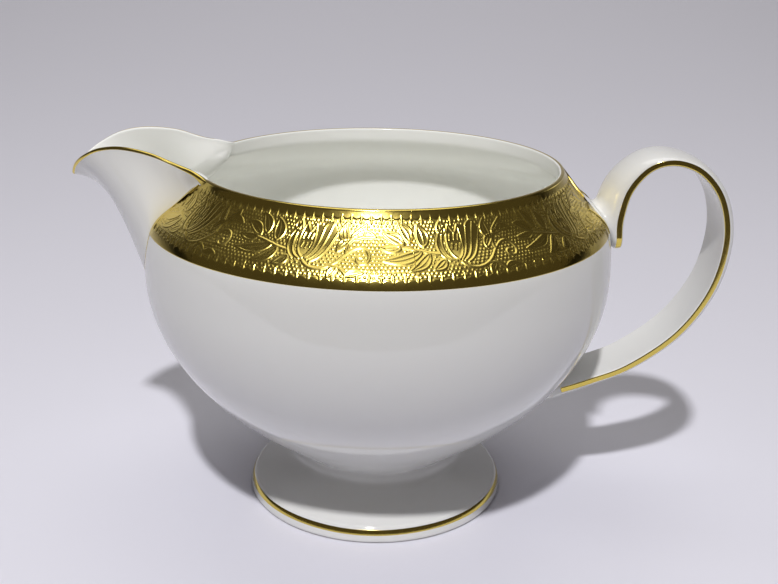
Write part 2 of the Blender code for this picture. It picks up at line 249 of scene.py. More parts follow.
MIRROR = np.array((1, -1, 1, 1, -1, 1, 1, -1, 1, -1, 1))


def bezier(ends, t):
    """Points of the cubic curve with these four control points, at shares t of the way along it."""
    a, b, c, d = (np.asarray(end, float) for end in ends)
    t = np.asarray(t, float)[..., None]
    return (1 - t) ** 3 * a + 3 * (1 - t) ** 2 * t * b + 3 * (1 - t) * t * t * c + t ** 3 * d


def ease(x, start, stop):
    """0 before start, 1 after stop, and the smooth cubic step 3t^2 - 2t^3 in between."""
    t = np.clip((np.asarray(x, float) - start) / (stop - start), 0, 1)
    return t * t * (3 - 2 * t)


def spline(rows, place):
    """Values at fractional row numbers, on the Catmull-Rom curve through the rows of a table."""
    place = np.asarray(place, float)
    first = np.clip(np.floor(place).astype(int), 0, len(rows) - 2)
    t = (place - first)[..., None]
    a, b, c, d = (rows[np.clip(first + step, 0, len(rows) - 1)] for step in (-1, 0, 1, 2))
    return 0.5 * (2 * b + (c - a) * t + (2 * a - 5 * b + 4 * c - d) * t * t
                  + (3 * b - a - 3 * c + d) * t ** 3)


def run_length(points):
    """Distance along a row of points, from its first."""
    steps = np.linalg.norm(np.diff(points, axis=0), axis=-1)
    return np.concatenate([[0.0], np.cumsum(steps)])


def side_of(points):
    """Unit vectors square to a flat curve, a quarter turn anticlockwise from the way it runs."""
    run = np.gradient(points, axis=0)
    square = np.stack([-run[:, 1], run[:, 0]], -1)
    return square / np.linalg.norm(square, axis=-1, keepdims=True)


def around(radius, turn, height):
    """Points at a radius, a turn round the bowl's axis in degrees, and a height."""
    angle = np.radians(turn)
    x, y = AXIS_X - radius * np.cos(angle), -radius * np.sin(angle)
    return np.stack(np.broadcast_arrays(x, y, height), -1)


fine = np.linspace(0, 1, 401)
OUTSIDE = np.vstack([bezier(SHOULDER, fine), bezier(BELLY, fine)[1:]])
OUTWARD = side_of(OUTSIDE)
OUTSIDE_RUN = run_length(OUTSIDE)
BAND_WIDTH = OUTSIDE_RUN[int(400 * BAND_SHARE)]
inner_wall = (OUTSIDE - WALL * OUTWARD)[OUTSIDE[:, 1] < 70.6]
collar = np.linspace((SHOULDER[0][0] - 2 * RIM_HALF, SHOULDER[0][1]), COLLAR_FOOT, 24)
kept = (inner_wall[:, 1] < COLLAR_FOOT[1] - 0.25) & (inner_wall[:, 1] > BOWL_FLOOR[0][1] + 0.6)
INSIDE = np.vstack([collar, inner_wall[kept]])
INSIDE_RUN = run_length(INSIDE)


def on_profile(profile, run, where):
    """Radius and height at distances along a profile from the rim."""
    return np.interp(where, run, profile[:, 0]), np.interp(where, run, profile[:, 1])


def at_height(profile, run, height):
    """Distance along a profile from the rim, down to a height."""
    return np.interp(-np.asarray(height), -profile[:, 1], run)


def spout_rows(place):
    """Spout measurements at places from -8 on the far side, round the tip at 0, to 8 on the near one.

    The far side mirrors the near one, and a Catmull-Rom curve runs through all rows."""
    mirrored = np.vstack([SPOUT_ROWS[:0:-1] * MIRROR, SPOUT_ROWS])
    return spline(mirrored, np.asarray(place) + len(SPOUT_ROWS) - 1)


def notch_edges():
    """The opening's edge on the outside and the inside of the wall: turn and distance from the rim.

    Outside it runs NOTCH_INSET nearer the opening than the seam, so that the spout's wall covers it.
    Inside it is cut back by THROAT_BACK under the spout's rounded root. Both edges rise to the rim
    where the spout runs out into it, between places 6.2 and 6.85."""
    place = np.linspace(0, 7.4, 300)
    rows = spout_rows(place)
    turn, height = np.maximum(rows[:, 9], 0.0), rows[:, 10]
    edges = []
    outer, inner = (OUTSIDE, OUTSIDE_RUN, NOTCH_INSET, 0.0), (INSIDE, INSIDE_RUN, -THROAT_BACK, THROAT_SINK)
    for profile, run, moved, sunk in (outer, inner):
        along = at_height(profile, run, height - sunk * (1 - ease(place, 5.0, 6.5)))
        radius, _ = on_profile(profile, run, along)
        flat = np.stack([radius * np.radians(turn), -along], -1)
        flat += moved * side_of(flat)
        flat[:, 1] *= 1 - ease(place, 6.2, 6.85)
        flat[0, 0] = 0.0
        last = int(np.argmax(flat[:, 1] > -0.02))
        flat = flat[:last + 1]
        flat[-1, 1] = 0.0
        edges.append((np.degrees(flat[:, 0] / radius[:last + 1]), -flat[:, 1]))
    return edges


def make_bowl():
    """Grid of loops round the axis: underside, outside, rim, inside and floor.

    A column under the opening starts at the opening's edge instead of the rim, and is back at its own
    turn NOTCH_FADE down from the rim. The wall is sunk by BAND_RECESS under the gold band."""
    base = np.linspace(-180, 180, BOWL_COLUMNS, endpoint=False)
    share = np.abs(base) / NOTCH_SPREAD
    sides = []
    walls = (OUTSIDE, OUTSIDE_RUN), (INSIDE, INSIDE_RUN)
    for (edge_turn, edge_run), (profile, run) in zip(notch_edges(), walls):
        along_edge = np.linspace(0, NOTCH_PART, len(edge_turn))
        top_turn = np.where(
            share < NOTCH_PART, np.interp(share, along_edge, edge_turn),
            np.where(share < 1, edge_turn[-1] + (share - NOTCH_PART) / (1 - NOTCH_PART)
                     * (NOTCH_SPREAD - edge_turn[-1]), np.abs(base)))
        top_run = np.where(share < NOTCH_PART, np.interp(share, along_edge, edge_run), 0.0)
        down = np.linspace(0, 1, BOWL_ROWS)[:, None] ** 1.15
        along = top_run + (run[-1] - top_run) * down
        fade = 1 - ease(along, top_run, NOTCH_FADE)
        turn = np.sign(base) * (np.abs(base) + (top_turn - np.abs(base)) * fade)
        radius, height = on_profile(profile, run, along)
        if profile is OUTSIDE:
            sunk = BAND_RECESS * ease(along, 0.5, 0.9) * (1 - ease(along, BAND_WIDTH - 0.7, BAND_WIDTH - 0.3))
            radius = radius - sunk * np.interp(along, run, OUTWARD[:, 0])
            height = height - sunk * np.interp(along, run, OUTWARD[:, 1])
        sides.append((around(radius, turn, height), turn[0], top_run))
    (outer, turn_out, run_out), (inner, turn_in, run_in) = sides
    swing = np.linspace(0, np.pi, 11)[1:-1, None]
    middle = SHOULDER[0][0] - RIM_HALF
    rim = around(middle + RIM_HALF * np.cos(swing), turn_out + (turn_in - turn_out) * swing / np.pi,
                 SHOULDER[0][1] + RIM_RISE * np.sin(swing))
    straight = outer[0] + (inner[0] - outer[0]) * swing[..., None] / np.pi
    cut_out = ease(run_out + run_in, 0.0, 0.4)[None, :, None]
    rim = rim + (straight - rim) * cut_out
    under = np.array(UNDERSIDE)
    floor = np.array(BOWL_FLOOR)
    bottom = around(under[:, :1], base, under[:, 1:])
    basin = around(floor[:, :1], base, floor[:, 1:])
    loops = np.concatenate([bottom[::-1], outer[::-1], rim, inner, basin])
    # inside is 1 where the material paints the lighter white that stands in for bounce light inside the bowl.
    inside = np.concatenate([np.zeros(len(under) + BOWL_ROWS), ease(swing[:, 0], 1.2, 2.6),
                             np.ones(BOWL_ROWS + len(floor))])
    return skin("porcelain_bowl", loops, inside=inside[:, None])


def porcelain(name):
    """Glazed bone-white porcelain.

    The white drifts a little over a few centimetres, and is painted lighter where inside is 1: painted light
    that stands in for the light bouncing round inside the jug.
    Light goes a millimetre into the body. The glaze is glossy, with the slow waves of a melted
    surface and faint pinholes."""
    material, shader, add, fill = node_material(name)
    place = add("TexCoord")
    drift = add("TexNoise", Vector=(place, "Object"), Scale=28.0, Detail=2.0, Roughness=0.4)
    outer = add("Mix", {"data_type": "RGBA"}, Factor=(drift, "Fac"),
                i6=(*[c * 0.975 for c in WHITE_GLAZE], 1), i7=(*[c * 1.02 for c in WHITE_GLAZE], 1))
    # Painted light: a lighter white for the inside, in place of the light that bounces round in the hollow.
    inner = add("Mix", {"data_type": "RGBA"}, Factor=(drift, "Fac"),
                i6=(*[c * 0.985 for c in PAINTED_LIGHT_INSIDE_WHITE], 1), i7=(*[c * 1.01 for c in PAINTED_LIGHT_INSIDE_WHITE], 1))
    inside = add("Attribute", {"attribute_name": "inside"})
    colour = add("Mix", {"data_type": "RGBA"}, Factor=(inside, "Fac"), i6=(outer, 2), i7=(inner, 2))
    haze = add("TexNoise", Vector=(place, "Object"), Scale=420.0, Detail=3.0)
    gloss = add("MapRange", Value=(haze, "Fac"), From_Min=0.3, From_Max=0.7, To_Min=0.045, To_Max=0.085)
    waves = add("TexNoise", Vector=(place, "Object"), Scale=190.0, Detail=1.0, Roughness=0.3)
    rolled = add("Bump", Height=(waves, "Fac"), Strength=0.10, Distance=0.00012)
    pits = add("TexVoronoi", Vector=(place, "Object"), Scale=260.0)
    holes = add("MapRange", Value=(pits, "Distance"), From_Max=0.035)
    pinned = add("Bump", Height=(holes, "Result"), Strength=0.12, Distance=0.00002, Normal=(rolled, "Normal"))
    fill(shader, dict(Base_Color=(colour, 2), Roughness=(gloss, "Result"), Normal=(pinned, "Normal"),
                      IOR=1.52, Subsurface_Weight=0.12, Subsurface_Scale=0.0015,
                      Subsurface_Radius=(1.0, 0.95, 0.85)))
    return material


bowl = make_bowl()
bowl.data.materials.append(porcelain("bowl_glaze"))
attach(bowl, "root")
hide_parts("bowl")

# ---------------------------------------------------------------- spout
# Pouring lip pressed on its own and stuck over the opening with slip. Its wall thins to about a
# millimetre at a rounded lip, and its root is smoothed into the bowl inside.
LIP_WALL = 1.0
ROOT_WALL = 1.8
END_WALL = 1.18
ROOT_ROUND = 1.5
SPOUT_REACH = 7.9
END_SINK = 0.45
SPOUT_STATIONS = 300
OUTER_ROWS = 44
INNER_ROWS = 34


def spout_surface(place, drop):
    """Outer wall at places round the lip and shares down each column, a cubic curve from lip to seam."""
    rows = spout_rows(place)
    lip, leave_lip, leave_bowl = rows[..., 0:3], rows[..., 3:6], rows[..., 6:9]
    turn, height = rows[..., 9], rows[..., 10]
    radius, _ = on_profile(OUTSIDE, OUTSIDE_RUN, at_height(OUTSIDE, OUTSIDE_RUN, height))
    seam = np.stack([-radius * np.cos(np.radians(turn)), -radius * np.sin(np.radians(turn)), height], -1)
    lip, leave_lip, leave_bowl = (v * (1, -1, 1) for v in (lip, leave_lip, leave_bowl))
    t = drop[..., None]
    return ((1 - t) ** 3 * lip + 3 * (1 - t) ** 2 * t * (lip + leave_lip)
            + 3 * (1 - t) * t * t * (seam + leave_bowl) + t ** 3 * seam) + (AXIS_X, 0, 0)


def faces_out(place, drop):
    """Unit vectors square to the spout's outer wall, from its slopes along and down."""
    small = 0.004
    along = spout_surface(place + small, drop) - spout_surface(place - small, drop)
    lower, upper = np.minimum(drop + small, 1), np.maximum(drop - small, 0)
    down = spout_surface(place, lower) - spout_surface(place, upper)
    square = np.cross(down, along)
    square /= np.maximum(np.linalg.norm(square, axis=-1, keepdims=True), 1e-9)
    return square


def spout_wall(place, drop):
    """Wall thickness: thin at the lip, thicker at the root and where it runs out into the rim."""
    ends = ease(np.abs(place), 5.2, 6.6)
    body = LIP_WALL + (ROOT_WALL - LIP_WALL) * ease(drop, 0.0, 0.8)
    return (body + (END_WALL - body) * ends) * (1 - 0.6 * ease(np.abs(place), 7.1, 8.0))


def lip_round(place):
    """Half the wall at the lip, mm for a whole share down there, and the share where the round ends."""
    half = spout_wall(place, np.zeros_like(place)) / 2
    speed = 3 * np.maximum(np.linalg.norm(spout_rows(place)[..., 3:6], axis=-1), 0.5)
    return half, speed, np.minimum(half / speed, 0.25)


def lip_point(place, beyond):
    """Outside of the spout at distances in mm below the lip's outermost line, and the way it faces.

    Above that line, at negative distances, it rolls over on a round of half the wall, which is as low
    as the rim's own round where the spout runs out."""
    place, beyond = np.broadcast_arrays(place, beyond)
    half, speed, start = lip_round(place)
    drop = np.clip(start + np.maximum(beyond, 0) / speed, 0, 1)
    facing = faces_out(place, drop)
    point = spout_surface(place, drop)
    down = spout_surface(place, drop + 0.004) - spout_surface(place, drop - 0.004)
    down /= np.maximum(np.linalg.norm(down, axis=-1, keepdims=True), 1e-9)
    over = np.minimum(beyond, 0) / half
    centre = point - facing * half[..., None]
    rolled = np.cos(over)[..., None] * facing + np.sin(over)[..., None] * down
    squat = 1 + (RIM_RISE / half - 1) * ease(np.abs(place), 6.2, 6.9)
    on_roll = centre + (rolled + np.sin(over)[..., None] * down * (squat[..., None] - 1)) * half[..., None]
    above = (beyond < 0)[..., None]
    return np.where(above, on_roll, point), np.where(above, rolled, facing)


def make_spout():
    """Loops across the wall at stations round the lip: down the outside, under the seam, back up.

    Near both ends the outside sinks into the rim by END_SINK, and the inner wall is pulled to the
    radius of the collar, so that the spout runs out without a ridge."""
    place = np.linspace(-SPOUT_REACH, SPOUT_REACH, SPOUT_STATIONS)[:, None]
    size = np.abs(place)
    sink = END_SINK * ease(size, 6.5, 7.4)[..., None]
    half, _, start = lip_round(place)
    drop = start + (1 - start) * np.linspace(0, 1, OUTER_ROWS)[None] ** 1.2
    across = np.broadcast_to(place, drop.shape)
    facing = faces_out(across, drop)
    outer = spout_surface(across, drop) - facing * sink
    inner_drop = start + (0.8 - start) * np.linspace(1, 0, INNER_ROWS)[None] ** 1.2
    inner_across = np.broadcast_to(place, inner_drop.shape)
    inner_facing = faces_out(inner_across, inner_drop)
    thickness = spout_wall(inner_across, inner_drop)[..., None]
    inner = spout_surface(inner_across, inner_drop) - inner_facing * thickness
    from_axis = inner[..., :2] - (AXIS_X, 0)
    cavity, _ = on_profile(INSIDE, INSIDE_RUN, at_height(INSIDE, INSIDE_RUN, inner[..., 2]))
    goal = cavity - 0.02 + 0.5 * ease(size, 6.85, 7.25)
    pull = 1 + (goal / np.linalg.norm(from_axis, axis=-1) - 1) * ease(size, 6.15, 6.75)
    inner[..., :2] = from_axis * pull[..., None] + (AXIS_X, 0)
    rows = spout_rows(place[:, 0])
    seam = outer[:, -1]
    seam_run = at_height(OUTSIDE, OUTSIDE_RUN, rows[:, 10])
    slope = np.stack([np.interp(seam_run, OUTSIDE_RUN, OUTWARD[:, i]) for i in (0, 1)], -1)
    turn = np.radians(rows[:, 9])
    out = np.stack([-np.cos(turn) * slope[:, 0], -np.sin(turn) * slope[:, 0], slope[:, 1]], -1)
    low_run = at_height(INSIDE, INSIDE_RUN, rows[:, 10] - THROAT_SINK * (1 - ease(size[:, 0], 5.0, 6.5)))
    in_radius, _ = on_profile(INSIDE, INSIDE_RUN, low_run)
    throat = np.stack([in_radius * turn, low_run], -1)
    away = side_of(throat)
    buried = 0.03 + 0.6 * ease(size[:, 0], 7.0, 7.9)

    def on_inside(distance):
        """Points on the inside of the bowl at a distance from the throat's edge, a little buried."""
        spot = throat + distance * away
        radius, height = on_profile(INSIDE, INSIDE_RUN, spot[:, 1])
        return around(radius + buried, np.degrees(spot[:, 0] / in_radius), height)

    t = np.linspace(0, 1, 9)[None, :-1, None]
    foot, corner, top = on_inside(ROOT_ROUND)[:, None], on_inside(0.0)[:, None], inner[:, :1]
    root = (1 - t) ** 2 * foot + 2 * (1 - t) * t * corner + t * t * top
    under = np.stack([seam - out * 0.5, foot[:, 0] + out * 0.6], 1)
    centre = (outer[:, :1] + inner[:, -1:]) / 2
    arm = outer[:, :1] - centre
    lift = spout_surface(place, start) - spout_surface(place, start + 0.02)
    lift /= np.maximum(np.linalg.norm(lift, axis=-1, keepdims=True), 1e-9)
    swing = np.linspace(np.pi, 0, 13)[None, 1:-1, None]
    rise = (half + (RIM_RISE - 0.04 - half) * ease(size, 6.2, 6.9))[..., None]
    lip = centre + arm * np.cos(swing) + lift * rise * np.sin(swing)
    loops = np.concatenate([outer, under, root, inner, lip], 1)
    inner_points = under.shape[1] + root.shape[1] + INNER_ROWS
    lip_fade = ease(np.linspace(1, 0, lip.shape[1]), 0.2, 0.8)
    # inside is 1 where the material paints the lighter white that stands in for bounce light inside the
    # spout.
    inside = np.concatenate([np.zeros(OUTER_ROWS), np.ones(inner_points), lip_fade])
    return skin("porcelain_spout", loops, inside=inside[None])


spout = make_spout()
spout.data.materials.append(porcelain("spout_glaze"))
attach(spout, "root")
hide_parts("spout")

# ---------------------------------------------------------------- foot
# Hollow pedestal, thrown as a concave flare from the neck to a thin upright edge. Glazed, except the
# ring that it stands on, which is left bare so that it doesn't stick in the kiln.
NECK_TOP = ((19.0, 13.0), (17.75, 10.9), (17.0, 9.9), (17.15, 8.5))
FLARE = ((17.15, 8.5), (17.5, 5.7), (20.6, 4.6), (26.3, 3.45))
FOOT_EDGE = ((26.3, 3.45), (27.1, 3.28), (27.55, 1.6), (27.6, 0.75))
FOOT_SOLE = ((27.6, 0.75), (27.6, 0.2), (27.2, 0.0), (26.6, 0.0))
FOOT_RING = ((26.6, 0.0), (25.4, 0.0), (24.9, 0.0), (24.6, 0.45))
FOOT_HOLLOW = ((24.6, 0.45), (22.6, 3.0), (15.4, 2.6), (13.6, 7.9))
NECK_HIDDEN = ((13.6, 7.9), (16.0, 11.5))
FOOT_COLUMNS = 360
BARE_COLOUR = (0.66, 0.63, 0.56)
BARE_ROUGHNESS = 0.62


def make_foot():
    """Closed outline of cubic curves turned round the axis. bare is 1 on the sole and fades above."""
    parts = [bezier(curve, np.linspace(0, 1, steps, endpoint=False)) for curve, steps in (
        (NECK_TOP, 22), (FLARE, 44), (FOOT_EDGE, 20), (FOOT_SOLE, 10), (FOOT_RING, 10), (FOOT_HOLLOW, 30))]
    outline = np.vstack(parts + [NECK_HIDDEN])
    turn = np.linspace(0, 360, FOOT_COLUMNS, endpoint=False)
    bare = (1 - ease(outline[:, 1], 0.12, 0.4)) * ease(outline[:, 0], 24.0, 24.6)
    loops = around(outline[:, :1], turn, outline[:, 1:])
    return skin("porcelain_foot", loops, closed=True, bare=bare[:, None])


def foot_glaze():
    """The same glaze, and matt greyer biscuit where bare is 1."""
    material = porcelain("foot_glaze")
    tree = material.node_tree
    shader = tree.nodes["Principled BSDF"]
    glazed = shader.inputs["Roughness"].links[0].from_socket
    white = shader.inputs["Base Color"].links[0].from_socket
    bare = tree.nodes.new("ShaderNodeAttribute")
    bare.attribute_name = "bare"
    dull = tree.nodes.new("ShaderNodeMix")
    tree.links.new(bare.outputs["Fac"], dull.inputs["Factor"])
    tree.links.new(glazed, dull.inputs[2])
    dull.inputs[3].default_value = BARE_ROUGHNESS
    tree.links.new(dull.outputs[0], shader.inputs["Roughness"])
    grey = tree.nodes.new("ShaderNodeMix")
    grey.data_type = "RGBA"
    tree.links.new(bare.outputs["Fac"], grey.inputs["Factor"])
    tree.links.new(white, grey.inputs[6])
    grey.inputs[7].default_value = (*BARE_COLOUR, 1)
    tree.links.new(grey.outputs[2], shader.inputs["Base Color"])
    return material


foot = make_foot()
foot.data.materials.append(foot_glaze())
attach(foot, "root")
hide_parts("foot")

# ---------------------------------------------------------------- handle
# Strap pressed in a mould with a flat inner face and a crowned outer one, bent into an ear and stuck
# to the shoulder and the belly. The slip at both joints is smoothed into a small fillet.
HANDLE_ROWS = np.array((
    (48.95, 55.6, 1.0), (48.75, 58.6, 2.4), (48.75, 63.0, 4.2), (50.2, 68.8, 3.5), (54.0, 73.3, 2.1),
    (59.1, 74.5, 1.3), (64.6, 72.3, 1.6), (68.9, 66.6, 2.1), (70.5, 58.0, 2.4), (68.5, 47.8, 2.3),
    (62.6, 38.3, 2.0), (53.4, 30.9, 1.8), (45.4, 27.3, 2.0), (38.7, 24.9, 2.6), (34.5, 23.8, 3.0),
))
STRAP_HALF = 6.5
STRAP_INNER = 0.75
STRAP_EDGE = 0.5
STRAP_CORNER = 0.42
JOINT_FILLET = 1.6
HANDLE_END = len(HANDLE_ROWS) - 1


def handle_frame(place):
    """Path point, outward direction and crown height at places along the strap."""
    rows = spline(HANDLE_ROWS, place)
    further = spline(HANDLE_ROWS, np.minimum(place + 0.02, HANDLE_END))
    run = (further - spline(HANDLE_ROWS, np.maximum(place - 0.02, 0)))[:, :2]
    run /= np.linalg.norm(run, axis=-1, keepdims=True)
    zero = np.zeros(len(rows))
    path = np.stack([rows[:, 0] + AXIS_X, zero, rows[:, 1]], -1)
    return path, np.stack([-run[:, 1], zero, run[:, 0]], -1), rows[:, 2]


def strap_section(crown, count=26):
    """Half of the strap's outline, from the middle of the inner face round the edge to the crown.

    The inner face is a shade hollow, the edge turns on a small round, and the crown is half an oval."""
    flat = np.linspace(0, STRAP_HALF - STRAP_CORNER, 9)
    face = np.stack([flat, -STRAP_INNER + 0.12 * (1 - (flat / STRAP_HALF) ** 2)], -1)
    turn = np.linspace(0, np.pi / 2, 8)[1:]
    corner = np.stack([STRAP_HALF - STRAP_CORNER + STRAP_CORNER * np.sin(turn),
                       -STRAP_INNER + STRAP_CORNER - STRAP_CORNER * np.cos(turn)], -1)
    lean = np.linspace(0, np.pi / 2, count)
    oval = np.stack(np.broadcast_arrays(STRAP_HALF * np.cos(lean)[None], (
        STRAP_EDGE + (crown[:, None] - STRAP_EDGE) * np.sin(lean)[None])), -1)
    fixed = np.vstack([face, corner])
    return np.concatenate([np.broadcast_to(fixed, (len(crown), *fixed.shape)), oval], 1)


def off_bowl(points):
    """Distance of points outside the bowl's wall, and the way the wall faces there."""
    flat = points - (AXIS_X, 0, 0)
    radius = np.hypot(flat[..., 0], flat[..., 1])
    run = at_height(OUTSIDE, OUTSIDE_RUN, flat[..., 2])
    wall, _ = on_profile(OUTSIDE, OUTSIDE_RUN, run)
    slope_r, slope_z = (np.interp(run, OUTSIDE_RUN, OUTWARD[:, i]) for i in (0, 1))
    facing = np.stack([flat[..., 0] / radius * slope_r, flat[..., 1] / radius * slope_r, slope_z], -1)
    return (radius - wall) * slope_r, facing


def strap_loops(place):
    """Loops of the strap at places along it, widened into the fillets where it nears the bowl."""
    path, outward, crown = handle_frame(place)
    half = strap_section(crown)
    outline = np.concatenate([half, (half * (-1, 1))[:, -2:0:-1]], 1)
    narrow = np.sqrt(np.clip(1 - (1 - np.clip(place / 1.1, 0, 1)) ** 2, 0.02, 1))[:, None]
    width = outline[..., 0] * narrow
    lift = outline[..., 1] * np.clip(narrow * 1.3, 0, 1)
    loops = path[:, None] + outward[:, None] * lift[..., None]
    loops[..., 1] += width
    step = np.roll(loops, -1, 1) - np.roll(loops, 1, 1)
    along = np.gradient(loops, axis=0)
    facing = np.cross(step, along)
    facing /= np.maximum(np.linalg.norm(facing, axis=-1, keepdims=True), 1e-9)
    gap, wall = off_bowl(loops)
    near = np.clip(gap, 0, JOINT_FILLET)
    flare = JOINT_FILLET - np.sqrt(np.maximum(JOINT_FILLET ** 2 - (JOINT_FILLET - near) ** 2, 0))
    sideways = facing - (facing * wall).sum(-1, keepdims=True) * wall
    flare = flare * ease(place, 0.9, 2.2)[:, None]
    return loops + sideways * flare[..., None], facing


def make_handle():
    """The strap's loops, close together where it leaves the bowl."""
    place = np.concatenate([np.linspace(0, 3.2, 90, endpoint=False),
                            np.linspace(3.2, 11.0, 120, endpoint=False),
                            np.linspace(11.0, HANDLE_END, 90)])
    return skin("porcelain_handle", strap_loops(place)[0])


handle = make_handle()
handle.data.materials.append(porcelain("handle_glaze"))
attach(handle, "root")
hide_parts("handle")

# ---------------------------------------------------------------- etched gold band
# Acid-etched decoration round the shoulder, gilded over: flowers, leaves and scrolls stand out of a
# stippled ground between two plain burnished borders with scalloped inner edges. Ten repeats go round.
REPEATS = 10
FLOWER_TURN = 73.3
MIDDLE_RADIUS = 43.5
TILE = 2 * math.pi * MIDDLE_RADIUS / REPEATS
LEVEL = 0.03
RELIEF = 0.10
BORDER_HEIGHT = 0.85 * RELIEF
LINE_HALF = 0.28
STAMEN_HALF = 0.24
EDGE_HALF = 0.25
RIB_HALF = 0.18
FIELD_HEIGHT = 0.035
SCALLOPS = 14
TOP_BORDER = 0.75
BOTTOM_BORDER = 1.25
SCALLOP_DEPTH = 0.7
TOOTH = 1.65
DOT_PITCH = 0.76
DOT_ROW = 0.87 * DOT_PITCH
DOT_RADIUS = 0.28
BAND_FROM = 26.0
BAND_TO = 172.0
PLAIN_END = 1.6
ROOT_BEAD = 0.16
TILE_STEP = 0.05
ROOT_HALF = 8.6
ROOT_TOP = 66.4
RIM_ROLL = 112.0
EDGE_SINK = 0.06
BACK_RADIUS = (46.0, 37.0)
BACK_HEIGHT = (61.0, 71.0)
BAND_PARTS = 2
PART_STATIONS = 620
BAND_ROWS = 156
ROLL_ROWS = 10
DEEP_GOLD = (0.71, 0.54, 0.11)
PALE_GOLD = (0.77, 0.62, 0.16)
# The flower's outlines, from its base upwards, then the scroll and its curls: four points each,
# across and down from the band's top edge at the flower's middle.
OUTLINES = (
    ((-0.1, 9.5), (-2.0, 8.1), (-1.9, 4.8), (-0.7, 2.6)), ((-0.1, 9.5), (1.5, 8.4), (1.6, 5.4), (1.2, 2.7)),
    ((-0.7, 2.6), (-0.3, 3.5), (0.1, 4.1), (0.3, 4.3)), ((1.2, 2.7), (0.8, 3.5), (0.5, 4.1), (0.3, 4.3)),
    ((-0.6, 9.7), (-3.0, 8.8), (-2.9, 5.2), (-1.7, 2.9)),
    ((-1.7, 2.9), (-2.5, 3.6), (-3.2, 4.4), (-3.5, 5.8)),
    ((-3.5, 5.8), (-3.7, 7.6), (-2.9, 9.0), (-1.8, 9.8)), ((0.5, 9.5), (2.0, 8.1), (2.3, 5.6), (2.9, 3.1)),
    ((0.9, 9.8), (2.8, 8.9), (3.3, 5.8), (4.6, 2.2)), ((1.5, 10.1), (3.6, 9.2), (4.1, 6.8), (5.6, 3.9)),
    ((2.9, 3.1), (3.3, 2.4), (3.8, 2.0), (4.6, 2.2)),
)
SCROLLS = (
    ((0.2, 10.1), (1.6, 12.1), (4.6, 11.8), (6.6, 9.2)), ((6.6, 9.2), (8.2, 7.2), (9.9, 5.9), (11.2, 7.3)),
    ((11.2, 7.3), (12.1, 8.7), (11.4, 10.4), (10.1, 10.0)),
    ((10.1, 10.0), (9.1, 9.6), (9.4, 8.4), (10.3, 8.7)),
    ((5.1, 10.8), (6.2, 10.6), (7.3, 11.2), (7.9, 12.3)), ((7.5, 8.1), (7.2, 6.4), (7.7, 5.0), (9.2, 4.4)),
    ((-3.4, 8.2), (-5.4, 8.0), (-7.6, 6.9), (-10.4, 6.6)),
)
# Leaves: where each one starts and ends, how wide it is, and how far it bends to its left.
LEAVES = (
    ((-1.9, 4.4), (-2.3, 1.9), 1.5, 0.2), ((-6.0, 6.6), (-6.9, 2.4), 2.1, -0.4),
    ((-8.4, 5.6), (-10.6, 1.9), 1.8, -0.5), ((-9.6, 6.1), (-13.4, 3.9), 1.7, -0.4),
    ((-10.0, 6.6), (-13.9, 6.6), 1.3, 0.3), ((-6.4, 7.4), (-13.4, 9.3), 1.8, 0.7),
    ((-5.2, 8.0), (-8.9, 11.4), 1.6, 0.6), ((-2.6, 9.4), (-4.9, 11.3), 1.4, 0.3),
    ((5.9, 7.6), (8.4, 5.2), 1.3, 0.5), ((7.3, 5.8), (7.0, 2.2), 1.5, 0.5),
    ((8.2, 4.9), (10.8, 2.3), 1.5, -0.5), ((9.2, 4.4), (12.6, 4.6), 1.2, 0.4),
    ((7.9, 12.3), (10.6, 11.9), 1.1, 0.3), ((6.2, 10.9), (5.0, 12.9), 0.9, -0.2),
)
# Stamens: how far across and down the middle of each lies, and how long it is.
STAMENS = (
    (-0.85, 5.0, 1.1), (0.05, 4.9, 1.1), (0.85, 5.0, 1.0),
    (-0.75, 6.8, 0.9), (0.05, 7.0, 0.9), (0.8, 6.8, 0.8),
)


